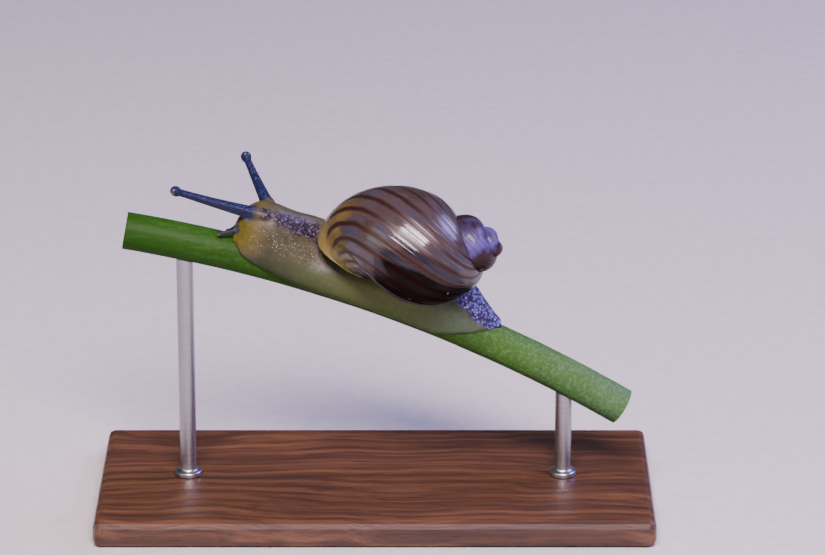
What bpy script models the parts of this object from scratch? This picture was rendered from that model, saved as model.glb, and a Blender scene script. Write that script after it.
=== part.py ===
"""Striped tree snail crawling down a cut length of green stem, life size.

Metres, +Z up. The origin is the middle of the stand's underside. The snail heads towards -X,
its left side faces -Y. Sizes below are in millimetres and are turned to metres at the end.
"""
import bpy
import bmesh
import math
from mathutils import Vector

MM = 0.001
GAP = 0.1                       # air kept between two touching solids of this 2 cm animal

# ---- stem: a round shoot bent to a large arc in the XZ plane
STEM_RADIUS = 1.35
STEM_ARC_RADIUS = 103.0
STEM_ARC_CENTRE = (-35.9, -80.6)    # x, z of the arc's centre
STEM_HALF_SPAN = 17.8

# ---- stand
BASE_SIZE = (40.0, 18.0, 2.0)
BASE_BEVEL = 0.5
ROD_RADIUS = 0.6
ROD_SIDES = 20
ROD_STOP = 0.5                  # the rods run to this far under the stem's centre before they are cut to it
ROD_FRONT_X = -13.6
ROD_REAR_X = 13.6

# ---- body: sections stand across the stem; every row is (x, value)
BODY_FRONT, BODY_REAR = -10.1, 9.05
CREST = [(-10.1, 1.65), (-9.8, 2.45), (-9.43, 3.05), (-8.8, 3.8), (-8.0, 4.25), (-7.2, 4.35), (-6.0, 4.1),
         (-4.6, 3.84), (-3.4, 3.75), (-0.5, 3.9), (3.3, 3.4), (5.5, 3.5), (7.07, 3.4), (7.93, 2.6),
         (8.71, 1.85), (9.05, 1.6)]
HALF_WIDTH_LEFT = [(-10.1, 0.6), (-9.6, 1.25), (-8.6, 1.75), (-7.2, 1.8), (-5.8, 1.6), (-4.2, 1.3),
                   (-2.6, 1.5), (0.0, 2.1), (4.0, 2.2), (6.6, 1.7), (8.2, 1.05), (9.05, 0.4)]
HALF_WIDTH_RIGHT = [(-10.1, 0.6), (-9.6, 1.25), (-8.6, 1.75), (-7.2, 1.8), (-5.6, 1.8), (-3.6, 2.0),
                    (-0.5, 2.3), (2.6, 2.2), (6.6, 1.7), (8.2, 1.05), (9.05, 0.4)]
SWAY = [(-7.4, 0.0), (-5.8, 0.35), (-4.2, 1.1), (-1.8, 1.2), (2.5, 0.5), (5.6, 0.0)]   # crest's shift to +Y
SWAY_LOW, SWAY_HIGH = 0.9, 3.3  # heights over the stem's centre between which the shift comes in
MARGIN_LEFT = [(-10.1, 40), (-9.43, 75), (-8.07, 97), (-7.1, 108), (-6.0, 118), (-4.0, 126),
               (3.9, 126), (4.7, 115), (5.7, 98), (6.8, 78), (8.2, 45), (9.05, 20)]
MARGIN_RIGHT = [(-10.1, 40), (-9.43, 70), (-8.0, 88), (-6.0, 104), (4.0, 104), (5.7, 92),
                (6.8, 76), (8.2, 45), (9.05, 20)]
SKIRT = 0.34                    # thickness of the foot's hem on the stem
FOOT_LAYER = 0.75               # thickness of the sole under the trunk
CREST_SHARE = 0.62              # the trunk's upright half axis as a share of its height
HEAD_END, NECK_END, TRUNK_MIDDLE, TAIL_START = -7.3, -4.4, 0.9, 6.3
FOOT_SPLITS = -2.6, 1.9

# ---- shell: an ellipse turned and grown along a logarithmic spiral
SHELL_APEX = Vector((9.74, -4.0, 21.41))
AXIS_RISE = math.radians(11.5)
AXIS_TURN = math.radians(4.9)
SPIRAL_PHASE = math.radians(35.5)
WHORL_RATIO = 2.23              # growth in one turn
PROFILE_RADIUS, PROFILE_HEIGHT = 1.91, 8.65     # the ellipse's centre: off the axis, along it from the apex
PROFILE_OUT, PROFILE_ALONG = 3.44, 4.92         # its half axes
PROFILE_LEAN = math.radians(-6.9)
LIP_AT_SUTURE, LIP_AT_BASE = math.radians(52), math.radians(9.5)
LIP_BASE_REACHED = math.radians(92)
INNER_LIP_END, INNER_LIP_SETBACK = math.radians(158), math.radians(20)
SETBACK_REACHED = 0.62          # share of the inner lip over which it steps back
BLUNT_REACH, BLUNT_WIDEN, BLUNT_SHIFT = 4.2, 0.35, 0.3    # the rounding of the first whorls
LIP_THICKNESS = 0.12            # radians of turn
ROOT_START, ROOT_END, ROOT_T = math.radians(-165), math.radians(-75), math.radians(96)  # of the inner lip
UMBILICUS_RADIUS = 0.3
SLANT_SHARE = 0.45              # share of the last turn over which the rows turn parallel to the lip
ROWS_PER_TURN = 32
SPIRE_COLUMNS, BASE_COLUMNS = 8, 14
FAN_SHARE, APEX_FAN_SHARE, BASE_FAN_SHARE = 0.62, 0.3, 0.7     # heights of the inner cones' tips
LIP_ROOM = 1.5                  # times the clearance, ahead of the lip
CLEARANCE = 1.3 * GAP           # the flesh is cut this far off the shell

# ---- head
TENTACLE_SIDES = 12
UPPER_LEFT = dict(base=(-8.1, -0.75, 22.2), tip=(-14.06, -1.2, 24.14), base_radius=0.52, tip_radius=0.26,
                  bulb_radius=0.38)
UPPER_RIGHT = dict(base=(-7.55, 0.75, 22.3), tip=(-9.29, 4.6, 24.78), base_radius=0.5, tip_radius=0.26,
                   bulb_radius=0.39)
LOWER_LEFT = dict(base=(-9.55, -0.75, 21.1), tip=(-11.0, -1.05, 20.95), base_radius=0.3, tip_radius=0.25,
                  bulb_radius=0.27)
LOWER_RIGHT = dict(base=(-9.6, 0.6, 21.2), tip=(-10.9, 1.15, 21.15), base_radius=0.3, tip_radius=0.25,
                   bulb_radius=0.27)
EYE_RADIUS = 0.2
EYE_LEAN = Vector((0, -1.1, 0.4))   # the eyes look out along the tentacles and to the near side
EYE_OUT = 0.24                  # from the bulb's middle to the eye's


def start_clean():
    for old in list(bpy.data.objects):
        bpy.data.objects.remove(old, do_unlink=True)


def finish(name, colour, roughness, metallic=0.0):
    material = bpy.data.materials.new(name)
    material.use_nodes = True
    shader = material.node_tree.nodes["Principled BSDF"]
    shader.inputs["Base Color"].default_value = (*colour, 1.0)
    shader.inputs["Roughness"].default_value = roughness
    shader.inputs["Metallic"].default_value = metallic
    return material


def make_object(name, points, faces, material=None, smooth_angle=40):
    """One closed solid from millimetre points."""
    mesh = bpy.data.meshes.new(name)
    mesh.from_pydata([tuple(Vector(p) * MM) for p in points], [], faces)
    shape = bmesh.new()
    shape.from_mesh(mesh)
    bmesh.ops.remove_doubles(shape, verts=shape.verts, dist=1e-7)
    bmesh.ops.recalc_face_normals(shape, faces=shape.faces)
    shape.to_mesh(mesh)
    shape.free()
    mesh.shade_smooth()
    mesh.set_sharp_from_angle(angle=math.radians(smooth_angle))
    piece = bpy.data.objects.new(name, mesh)
    bpy.context.scene.collection.objects.link(piece)
    if material:
        mesh.materials.append(material)
    return piece


def guide(piece):
    piece.hide_render = True
    piece.display_type = "WIRE"
    return piece


def cut(piece, cutter):
    modifier = piece.modifiers.new(f"cut_{cutter.name}", "BOOLEAN")
    modifier.operation = "DIFFERENCE"
    modifier.solver = "EXACT"
    modifier.object = cutter


def smoothstep(share):
    share = min(max(share, 0.0), 1.0)
    return share * share * (3 - 2 * share)


def along(rows, x):
    """The value at x on the smooth curve through (x, value) rows."""
    if x <= rows[0][0]:
        return rows[0][1]
    if x >= rows[-1][0]:
        return rows[-1][1]
    i = next(k for k in range(len(rows) - 1) if x <= rows[k + 1][0])

    def slope(k):
        if k == 0 or k == len(rows) - 1:
            return 0.0
        before = (rows[k][1] - rows[k - 1][1]) / (rows[k][0] - rows[k - 1][0])
        after = (rows[k + 1][1] - rows[k][1]) / (rows[k + 1][0] - rows[k][0])
        return 0.0 if before * after <= 0 else 2 * before * after / (before + after)

    (x0, y0), (x1, y1) = rows[i], rows[i + 1]
    width = x1 - x0
    s = (x - x0) / width
    return (y0 * (1 + 2 * s) * (1 - s) ** 2 + y1 * s * s * (3 - 2 * s)
            + width * slope(i) * s * (1 - s) ** 2 + width * slope(i + 1) * s * s * (s - 1))


# ---- stem -------------------------------------------------------------------------------------

def stem_centre(x):
    """Height of the stem's centre line and the cosine of its slope."""
    run = x - STEM_ARC_CENTRE[0]
    rise = math.sqrt(STEM_ARC_RADIUS ** 2 - run ** 2)
    return STEM_ARC_CENTRE[1] + rise, rise / STEM_ARC_RADIUS


def tube(centres, radii, sides):
    """Points and faces of a round flat-ended tube whose rings stand across its own path."""
    points, faces = [], []
    centres = [Vector(c) for c in centres]
    count = len(centres)
    for i, centre in enumerate(centres):
        ahead = (centres[min(i + 1, count - 1)] - centres[max(i - 1, 0)]).normalized()
        side = ahead.cross(Vector((0, 0, 1))).normalized() if abs(ahead.z) < 0.9 else Vector((0, 1, 0))
        up = side.cross(ahead)
        for k in range(sides):
            turn = 2 * math.pi * k / sides
            points.append(centre + radii[i] * (math.cos(turn) * side + math.sin(turn) * up))
    for i in range(count - 1):
        for k in range(sides):
            n = (k + 1) % sides
            faces.append((i * sides + k, i * sides + n, (i + 1) * sides + n, (i + 1) * sides + k))
    faces += [tuple(range(sides)), tuple(range((count - 1) * sides, count * sides))]
    return points, faces


def stem_solid(name, radius, half_span, sides, steps, material=None):
    xs = [-half_span + 2 * half_span * i / steps for i in range(steps + 1)]
    centres = [(x, 0, stem_centre(x)[0]) for x in xs]
    return make_object(name, *tube(centres, [radius] * len(xs), sides), material)


# ---- body -------------------------------------------------------------------------------------

def body_radius(x, turn):
    """Distance from the stem's centre line to the skin; turn runs from the crest, + to the left side."""
    crest = along(CREST, x)
    width = along(HALF_WIDTH_LEFT if turn > 0 else HALF_WIDTH_RIGHT, x)
    upright = CREST_SHARE * crest
    middle = crest - upright
    a = (math.sin(turn) / width) ** 2 + (math.cos(turn) / upright) ** 2
    b = -2 * middle * math.cos(turn) / upright ** 2
    c = (middle / upright) ** 2 - 1
    oval = (-b + math.sqrt(b * b - 4 * a * c)) / (2 * a)
    hem = STEM_RADIUS + GAP + SKIRT
    hem = min(hem, crest)
    return (oval ** 8 + hem ** 8) ** 0.125


def body_point(x, turn, radius):
    """A point of the body's section; the upper part of the neck and trunk leans to the right side."""
    height, slope = stem_centre(x)
    rise = radius * math.cos(turn)
    sway = along(SWAY, x) * smoothstep((rise - SWAY_LOW) / (SWAY_HIGH - SWAY_LOW))
    return (x, sway - radius * math.sin(turn), height + rise / slope)


def layer_edge(x, side, inner):
    """The angle where the skin meets the layer's inner radius, or the foot's margin."""
    margin = math.radians(along(MARGIN_LEFT if side > 0 else MARGIN_RIGHT, x))
    turn = margin
    while turn > 0.05 and body_radius(x, side * turn) < inner:
        turn -= 0.01
    return turn


def body_block(name, x0, x1, inner, outer, material, steps, columns=12):
    """A length of the body between an inner radius and the skin or an outer radius."""
    points, faces = [], []
    ring = 2 * columns
    for i in range(steps + 1):
        x = x0 + (x1 - x0) * i / steps
        left, right = layer_edge(x, 1, inner), layer_edge(x, -1, inner)
        skin = []
        for k in range(columns + 1):
            turn = -right + (left + right) * k / columns
            edge = left if turn > 0 else right
            fade = math.sqrt(max(0.0, 1 - abs(turn / edge) ** 6))
            reach = min(body_radius(x, turn), outer)
            skin.append((turn, inner + max(reach - inner, 0.02) * fade))
        points += [body_point(x, turn, radius) for turn, radius in skin]
        points += [body_point(x, turn, inner) for turn, _ in skin[-2:0:-1]]
    for i in range(steps):
        for k in range(ring):
            n = (k + 1) % ring
            faces.append((i * ring + k, (i + 1) * ring + k, (i + 1) * ring + n, i * ring + n))
    for start in (0, steps * ring):
        top = list(range(start, start + columns + 1))
        low = [start] + list(range(start + ring - 1, start + columns, -1)) + [start + columns]
        for k in range(columns):
            corners = (top[k], top[k + 1], low[k + 1], low[k])
            faces.append(tuple(dict.fromkeys(corners)))
    return make_object(name, points, faces, material, smooth_angle=60)


# ---- shell ------------------------------------------------------------------------------------

GROWTH = math.log(WHORL_RATIO) / (2 * math.pi)
AXIS = Vector((-math.cos(AXIS_RISE) * math.cos(AXIS_TURN), math.cos(AXIS_RISE) * math.sin(AXIS_TURN),
               -math.sin(AXIS_RISE)))
SHELL_UP = (Vector((0, 0, 1)) - AXIS * AXIS.z).normalized()
SHELL_SIDE = AXIS.cross(SHELL_UP)


def profile(t, grow=0.0):
    """Distance off the axis and height from the apex on the last whorl's outline at angle t."""
    out, height = (PROFILE_OUT + grow) * math.cos(t), (PROFILE_ALONG + grow) * math.sin(t)
    return (PROFILE_RADIUS + out * math.cos(PROFILE_LEAN) - height * math.sin(PROFILE_LEAN),
            PROFILE_HEIGHT + out * math.sin(PROFILE_LEAN) + height * math.cos(PROFILE_LEAN))


def blunted(radius, height):
    """Widens and shortens the first whorls, so the shell ends in a blunt dome."""
    young = 1 - smoothstep(height / BLUNT_REACH)
    return radius * (1 + BLUNT_WIDEN * young), height + BLUNT_SHIFT * young


def shell_point(turn, t, grow=0.0):
    scale = math.exp(GROWTH * turn)
    radius, height = profile(t, grow / scale)
    angle = turn + SPIRAL_PHASE
    off_axis = math.cos(angle) * SHELL_UP + math.sin(angle) * SHELL_SIDE
    radius, height = blunted(scale * radius, scale * height)
    return SHELL_APEX + radius * off_axis + height * AXIS


def axis_point(height):
    return SHELL_APEX + blunted(0, height)[1] * AXIS


def solve(function, low, high):
    """The root of a function between two bounds of opposite sign."""
    for _ in range(60):
        middle = (low + high) / 2
        if (function(low) > 0) == (function(middle) > 0):
            low = middle
        else:
            high = middle
    return (low + high) / 2


def inside_previous(t):
    """Above 0 where the outline at t stands clear of the whorl before it."""
    radius, height = profile(t)
    dr, dh = WHORL_RATIO * radius - PROFILE_RADIUS, WHORL_RATIO * height - PROFILE_HEIGHT
    out = (dr * math.cos(PROFILE_LEAN) + dh * math.sin(PROFILE_LEAN)) / PROFILE_OUT
    height = (-dr * math.sin(PROFILE_LEAN) + dh * math.cos(PROFILE_LEAN)) / PROFILE_ALONG
    return out * out + height * height - 1


SUTURE = solve(inside_previous, math.radians(-100), math.radians(-40))
LOWER_SUTURE = solve(lambda t: profile(t)[1] - WHORL_RATIO * profile(SUTURE)[1], math.radians(-60),
                     math.radians(60))
UMBILICUS = solve(lambda t: profile(t)[0] - UMBILICUS_RADIUS, math.radians(90), math.radians(150))


def lip_turn(t):
    """How far round the lip stands at t: straight down from the suture, then back towards the base."""
    share = (t - LOWER_SUTURE) / (LIP_BASE_REACHED - LOWER_SUTURE)
    return LIP_AT_SUTURE + (LIP_AT_BASE - LIP_AT_SUTURE) * smoothstep(share)


def row_turn(share, t):
    """The spiral angle of one row of the last turn; the first and last rows follow the lip."""
    plain = -2 * math.pi * (1 - share)
    slant = smoothstep((abs(share - 0.5) - 0.5) / SLANT_SHARE + 1)
    return plain + lip_turn(t) * slant


def zip_strip(first, second):
    """Triangles between two rows of vertices of different counts."""
    faces, i, k = [], 0, 0
    while i < len(first) - 1 or k < len(second) - 1:
        next_first = (i + 1) / (len(first) - 1) if i < len(first) - 1 else 2
        next_second = (k + 1) / (len(second) - 1) if k < len(second) - 1 else 2
        if next_first <= next_second:
            faces.append((first[i], first[i + 1], second[k]))
            i += 1
        else:
            faces.append((first[i], second[k + 1], second[k]))
            k += 1
    return faces


def whorl(name, turns_back, material=None, grow=0.0, gap=GAP / 2):
    """One whole turn of the shell as a solid: 0 is the body whorl, 1 and 2 the whorls before it."""
    last = turns_back == 0
    columns = SPIRE_COLUMNS + (BASE_COLUMNS if last else 0)
    scale = WHORL_RATIO ** -turns_back
    slack = gap / scale / PROFILE_ALONG
    points, grid = [], []
    for i in range(ROWS_PER_TURN + 1):
        share = i / ROWS_PER_TURN
        row = []
        for k in range(columns + 1):
            if k <= SPIRE_COLUMNS:
                t = SUTURE + slack + (LOWER_SUTURE - SUTURE - 2 * slack) * k / SPIRE_COLUMNS
            else:
                t = LOWER_SUTURE + (UMBILICUS - LOWER_SUTURE) * (k - SPIRE_COLUMNS) / BASE_COLUMNS
            turn = row_turn(share, t if last else SUTURE) - 2 * math.pi * turns_back
            if last and i == ROWS_PER_TURN:
                turn += LIP_ROOM * grow / max(profile(t)[0], 0.5)
            elif i in (0, ROWS_PER_TURN):
                turn += slack * (1 - 2 * share)
            row.append(len(points))
            points.append(shell_point(turn, t, grow))
        grid.append(row)
    faces = [(grid[i][k], grid[i][k + 1], grid[i + 1][k + 1], grid[i + 1][k])
             for i in range(ROWS_PER_TURN) for k in range(columns)]

    def fan(loop, height):
        points.append(axis_point(height))
        faces.extend((loop[k], loop[(k + 1) % len(loop)], len(points) - 1) for k in range(len(loop)))

    suture_height = scale * profile(SUTURE)[1]
    top = [row[0] for row in grid] + grid[0][SPIRE_COLUMNS:0:-1]
    fan(top, (FAN_SHARE if turns_back < 2 else APEX_FAN_SHARE) * suture_height + gap - grow)
    if last:
        faces += zip_strip(grid[-1], grid[0][SPIRE_COLUMNS:])
        fan([row[-1] for row in grid], BASE_FAN_SHARE * profile(UMBILICUS)[1])
    else:
        low = [row[-1] for row in grid] + grid[-1][-2::-1]
        fan(low, FAN_SHARE * WHORL_RATIO * suture_height - gap)
    return make_object(name, points, faces, material)


def inner_lip(name, grow=0.0, material=None):
    """The lip's inner edge runs on past the axis to the near side; a wedge backs it up to the older whorl."""
    shape = bmesh.new()
    lip_steps, base_steps = 10, 6
    for i in range(lip_steps + 1):
        t = LIP_BASE_REACHED + (INNER_LIP_END - LIP_BASE_REACHED) * i / lip_steps
        edge = LIP_AT_BASE - INNER_LIP_SETBACK * smoothstep(i / lip_steps / SETBACK_REACHED)
        for turn in (edge, edge - LIP_THICKNESS):
            shape.verts.new(shell_point(turn, t, grow) * MM)
    for i in range(base_steps + 1):
        turn = ROOT_START + (ROOT_END - ROOT_START) * i / base_steps
        shape.verts.new(shell_point(turn, ROOT_T) * MM)
        shape.verts.new(shell_point(turn, UMBILICUS) * MM)
    hull = bmesh.ops.convex_hull(shape, input=shape.verts)
    spare = {part for part in hull["geom_interior"] + hull["geom_unused"] if isinstance(part, bmesh.types.BMVert)}
    bmesh.ops.delete(shape, geom=list(spare), context="VERTS")
    mesh = bpy.data.meshes.new(name)
    shape.to_mesh(mesh)
    shape.free()
    piece = bpy.data.objects.new(name, mesh)
    bpy.context.scene.collection.objects.link(piece)
    if material:
        mesh.materials.append(material)
    return piece


# ---- head -------------------------------------------------------------------------------------

def tentacle_path(tentacle, share):
    base, tip = Vector(tentacle["base"]), Vector(tentacle["tip"])
    sag = Vector((0, 0, -0.04)) * math.sin(math.pi * share)
    return base.lerp(tip, share) + sag


def tentacle_length(name, tentacle, start, end, material, rings=6):
    shares = [start + (end - start) * i / rings for i in range(rings + 1)]
    radii = [tentacle["tip_radius"] + (tentacle["base_radius"] - tentacle["tip_radius"]) * (1 - s) ** 1.4
             for s in shares]
    centres = [tentacle_path(tentacle, s) for s in shares]
    return make_object(name, *tube(centres, radii, TENTACLE_SIDES), material)


def ball(name, centre, radius, material, stretch=None, along_axis=None, rings=8, sides=12):
    """A closed round knob, longer along one direction where stretch is given."""
    points = [Vector((0, 0, 1))]
    for i in range(1, rings):
        tilt = math.pi * i / rings
        points += [Vector((math.sin(tilt) * math.cos(2 * math.pi * k / sides),
                           math.sin(tilt) * math.sin(2 * math.pi * k / sides), math.cos(tilt)))
                   for k in range(sides)]
    points.append(Vector((0, 0, -1)))
    faces = [(0, 1 + k, 1 + (k + 1) % sides) for k in range(sides)]
    for i in range(rings - 2):
        for k in range(sides):
            n = (k + 1) % sides
            start = 1 + i * sides
            faces.append((start + k, start + sides + k, start + sides + n, start + n))
    start = 1 + (rings - 2) * sides
    faces += [(start + k, len(points) - 1, start + (k + 1) % sides) for k in range(sides)]
    turn = Vector((0, 0, 1)).rotation_difference(Vector(along_axis or (0, 0, 1)))
    placed = [Vector(centre) + turn @ Vector((radius * p.x, radius * p.y, (stretch or 1) * radius * p.z))
              for p in points]
    return make_object(name, placed, faces, material)


def tentacle_pointing(tentacle):
    return (Vector(tentacle["tip"]) - tentacle_path(tentacle, 0.9)).normalized()


def make_tentacle(side, tentacle, skin, eye_skin, head):
    length = (Vector(tentacle["tip"]) - Vector(tentacle["base"])).length
    neck_share = 1 - (tentacle["bulb_radius"] + GAP / 2) / length
    gap_share = GAP / length
    root = tentacle_length(f"tentacle_upper_{side}_root", tentacle, 0.0, 0.4, skin)
    cut(root, head)
    tentacle_length(f"tentacle_upper_{side}_stalk", tentacle, 0.4 + gap_share, neck_share - gap_share, skin)
    pointing = tentacle_pointing(tentacle)
    bulb = ball(f"tentacle_upper_{side}_bulb", tentacle["tip"], tentacle["bulb_radius"], skin,
                stretch=1.1, along_axis=pointing)
    eye_centre = Vector(tentacle["tip"]) + (pointing + EYE_LEAN).normalized() * EYE_OUT
    ball(f"eye_{side}", eye_centre, EYE_RADIUS, eye_skin, rings=6, sides=10)
    socket = guide(ball(f"eye_socket_{side}", eye_centre, EYE_RADIUS + GAP / 2, None, rings=6, sides=10))
    cut(bulb, socket)


def make_stand(metal, timber):
    length, width, height = BASE_SIZE
    bpy.ops.mesh.primitive_cube_add(size=1, location=(0, 0, height * MM / 2))
    base = bpy.context.object
    base.name = "stand_base"
    base.scale = (length * MM, width * MM, height * MM)
    bpy.ops.object.transform_apply(location=False, rotation=False, scale=True)
    base.data.materials.append(timber)
    bevel = base.modifiers.new("eased_edges", "BEVEL")
    bevel.width = BASE_BEVEL * MM
    bevel.segments = 2
    bevel.limit_method = "ANGLE"
    clearance = guide(stem_solid("stem_clearance", STEM_RADIUS + GAP, STEM_HALF_SPAN + 1, 24, 30))
    for name, x in (("stand_rod_front", ROD_FRONT_X), ("stand_rod_rear", ROD_REAR_X)):
        top = stem_centre(x)[0] - ROD_STOP
        points, faces = [], []
        for z in (height + GAP, top):
            points += [(x + ROD_RADIUS * math.cos(2 * math.pi * k / ROD_SIDES),
                        ROD_RADIUS * math.sin(2 * math.pi * k / ROD_SIDES), z) for k in range(ROD_SIDES)]
        faces += [(k, (k + 1) % ROD_SIDES, ROD_SIDES + (k + 1) % ROD_SIDES, ROD_SIDES + k)
                  for k in range(ROD_SIDES)]
        faces += [tuple(range(ROD_SIDES)), tuple(range(ROD_SIDES, 2 * ROD_SIDES))]
        rod = make_object(name, points, faces, metal)
        cut(rod, clearance)


def make_snail():
    flesh = finish("snail_skin", (0.42, 0.40, 0.22), 0.4)
    dark_flesh = finish("snail_skin_dark", (0.25, 0.25, 0.28), 0.4)
    tail_flesh = finish("snail_skin_tail", (0.36, 0.36, 0.55), 0.45)
    eye_skin = finish("eye", (0.02, 0.02, 0.03), 0.15)
    shell = finish("shell", (0.45, 0.30, 0.22), 0.3)
    green = finish("green_stem", (0.28, 0.36, 0.10), 0.5)

    stem_solid("perch_stem", STEM_RADIUS, STEM_HALF_SPAN, 20, 20, green)

    whorl("shell_body_whorl", 0, shell)
    whorl("shell_penultimate_whorl", 1, shell)
    whorl("shell_apex", 2, shell)
    shell_clearance = guide(whorl("shell_clearance", 0, grow=CLEARANCE, gap=-GAP / 2))

    lip = inner_lip("shell_inner_lip", material=shell)
    cut(lip, shell_clearance)
    lip_clearance = guide(inner_lip("lip_clearance", grow=GAP))

    inner = STEM_RADIUS + GAP
    sole = inner + FOOT_LAYER
    far_out = 99.0
    half_gap = GAP / 2
    head = body_block("head", BODY_FRONT, HEAD_END - half_gap, inner, far_out, flesh, 9)
    neck = body_block("neck", HEAD_END + half_gap, NECK_END - half_gap, sole + GAP, far_out, flesh, 6)
    trunk = [body_block("trunk_front", NECK_END + half_gap, TRUNK_MIDDLE - half_gap, sole + GAP, far_out, flesh, 9),
             body_block("trunk_rear", TRUNK_MIDDLE + half_gap, TAIL_START - half_gap, sole + GAP, far_out, flesh, 9)]
    feet = [body_block("foot_front", HEAD_END + half_gap, FOOT_SPLITS[0] - half_gap, inner, sole, flesh, 7),
            body_block("foot_middle", FOOT_SPLITS[0] + half_gap, FOOT_SPLITS[1] - half_gap, inner, sole, flesh, 7),
            body_block("foot_rear", FOOT_SPLITS[1] + half_gap, TAIL_START - half_gap, inner, sole, flesh, 7)]
    tail = body_block("tail", TAIL_START + half_gap, BODY_REAR, inner, far_out, tail_flesh, 8)
    for piece in (neck, *trunk, *feet, tail):
        cut(piece, shell_clearance)
        cut(piece, lip_clearance)

    for side, tentacle in (("left", UPPER_LEFT), ("right", UPPER_RIGHT)):
        make_tentacle(side, tentacle, dark_flesh, eye_skin, head)
    for side, tentacle in (("left", LOWER_LEFT), ("right", LOWER_RIGHT)):
        feeler = tentacle_length(f"tentacle_lower_{side}", tentacle, 0.0, 1.0, dark_flesh, rings=4)
        cut(feeler, head)


start_clean()
make_snail()
make_stand(finish("steel_rod", (0.5, 0.5, 0.5), 0.35, 1.0), finish("walnut", (0.12, 0.06, 0.03), 0.5))
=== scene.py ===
"""Looks of the striped tree snail on its cut stem: one wet skin, a thin coiled shell, two eyes,
a green shoot, and a walnut stand with steel pins. Lengths are millimetres until a piece is finished."""

import math
from collections import namedtuple

import bmesh
import bpy
from mathutils import Matrix, Vector, noise


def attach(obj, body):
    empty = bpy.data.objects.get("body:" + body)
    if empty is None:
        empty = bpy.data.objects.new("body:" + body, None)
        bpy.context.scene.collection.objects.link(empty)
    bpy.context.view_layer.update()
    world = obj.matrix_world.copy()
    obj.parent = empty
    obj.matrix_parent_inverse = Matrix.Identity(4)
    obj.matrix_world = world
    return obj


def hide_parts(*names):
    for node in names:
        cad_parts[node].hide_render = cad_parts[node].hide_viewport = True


MM = 0.001
UP = Vector((0, 0, 1))

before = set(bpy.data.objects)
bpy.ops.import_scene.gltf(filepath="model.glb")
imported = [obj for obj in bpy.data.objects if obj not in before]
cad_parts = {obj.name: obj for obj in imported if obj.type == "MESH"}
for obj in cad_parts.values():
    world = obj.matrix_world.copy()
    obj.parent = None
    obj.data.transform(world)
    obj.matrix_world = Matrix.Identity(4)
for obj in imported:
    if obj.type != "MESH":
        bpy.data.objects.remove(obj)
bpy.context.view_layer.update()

# ---- the same sizes as the solids ----
STEM_RADIUS = 1.35
STEM_ARC_RADIUS = 103.0
STEM_ARC_CENTRE = (-35.9, -80.6)
STEM_HALF_SPAN = 17.8

BODY_FRONT, BODY_LENGTH = -10.1, 19.15
CREST = [(-10.1, 1.65), (-9.8, 2.45), (-9.43, 3.05), (-8.8, 3.8), (-8.0, 4.25), (-7.2, 4.35), (-6.0, 4.1),
         (-4.6, 3.84), (-3.4, 3.75), (-0.5, 3.9), (3.3, 3.4), (5.5, 3.5), (7.07, 3.4), (7.93, 2.6),
         (8.71, 1.85), (9.05, 1.6)]
HALF_WIDTH_LEFT = [(-10.1, 0.6), (-9.6, 1.25), (-8.6, 1.75), (-7.2, 1.8), (-5.8, 1.6), (-4.2, 1.3),
                   (-2.6, 1.5), (0.0, 2.1), (4.0, 2.2), (6.6, 1.7), (8.2, 1.05), (9.05, 0.4)]
HALF_WIDTH_RIGHT = [(-10.1, 0.6), (-9.6, 1.25), (-8.6, 1.75), (-7.2, 1.8), (-5.6, 1.8), (-3.6, 2.0),
                    (-0.5, 2.3), (2.6, 2.2), (6.6, 1.7), (8.2, 1.05), (9.05, 0.4)]
SWAY = [(-7.4, 0.0), (-5.8, 0.35), (-4.2, 1.1), (-1.8, 1.2), (2.5, 0.5), (5.6, 0.0)]   # crest's shift to +Y
SWAY_LOW, SWAY_HIGH = 0.9, 3.3  # heights over the stem's centre between which the shift comes in
MARGIN_LEFT = [(-10.1, 40), (-9.43, 75), (-8.07, 97), (-7.1, 108), (-6.0, 118), (-4.0, 126),
               (3.9, 126), (4.7, 115), (5.7, 98), (6.8, 78), (8.2, 45), (9.05, 20)]
MARGIN_RIGHT = [(-10.1, 40), (-9.43, 70), (-8.0, 88), (-6.0, 104), (4.0, 104), (5.7, 92),
                (6.8, 76), (8.2, 45), (9.05, 20)]
HEM = 1.79                      # radius of the foot's hem round the stem
CREST_SHARE = 0.62

SHELL_APEX = Vector((9.74, -4.0, 21.41))
AXIS_RISE, AXIS_TURN = math.radians(11.5), math.radians(4.9)
SPIRAL_PHASE = math.radians(35.5)
WHORL_RATIO = 2.23
PROFILE_RADIUS, PROFILE_HEIGHT = 1.91, 8.65
PROFILE_OUT, PROFILE_ALONG = 3.44, 4.92
PROFILE_LEAN = math.radians(-6.9)
LIP_AT_SUTURE, LIP_AT_BASE = math.radians(52), math.radians(9.5)
LIP_BASE_REACHED = math.radians(92)
INNER_LIP_END, INNER_LIP_SETBACK = math.radians(158), math.radians(20)
SETBACK_REACHED = 0.62
BLUNT_REACH, BLUNT_WIDEN, BLUNT_SHIFT = 4.2, 0.35, 0.3

Tentacle = namedtuple("Tentacle", "base tip base_radius tip_radius bulb_radius")
TENTACLES = {
    "upper_left": Tentacle(Vector((-8.1, -0.75, 22.2)), Vector((-14.06, -1.2, 24.14)), 0.52, 0.26, 0.38),
    "upper_right": Tentacle(Vector((-7.55, 0.75, 22.3)), Vector((-9.29, 4.6, 24.78)), 0.5, 0.26, 0.39),
    "lower_left": Tentacle(Vector((-9.5, -0.75, 21.2)), Vector((-11.0, -1.05, 20.92)), 0.2, 0.14, 0.19),
    "lower_right": Tentacle(Vector((-9.55, 0.6, 21.1)), Vector((-10.55, 1.4, 20.25)), 0.2, 0.14, 0.19),
}
EYE_RADIUS = 0.2
EYE_LEAN = Vector((0, -1.1, 0.4))
EYE_OUT = 0.24

ROD_RADIUS = 0.6
ROD_PLACES = dict(front=-13.6, rear=13.6)
BASE_TOP = 2.0

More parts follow.
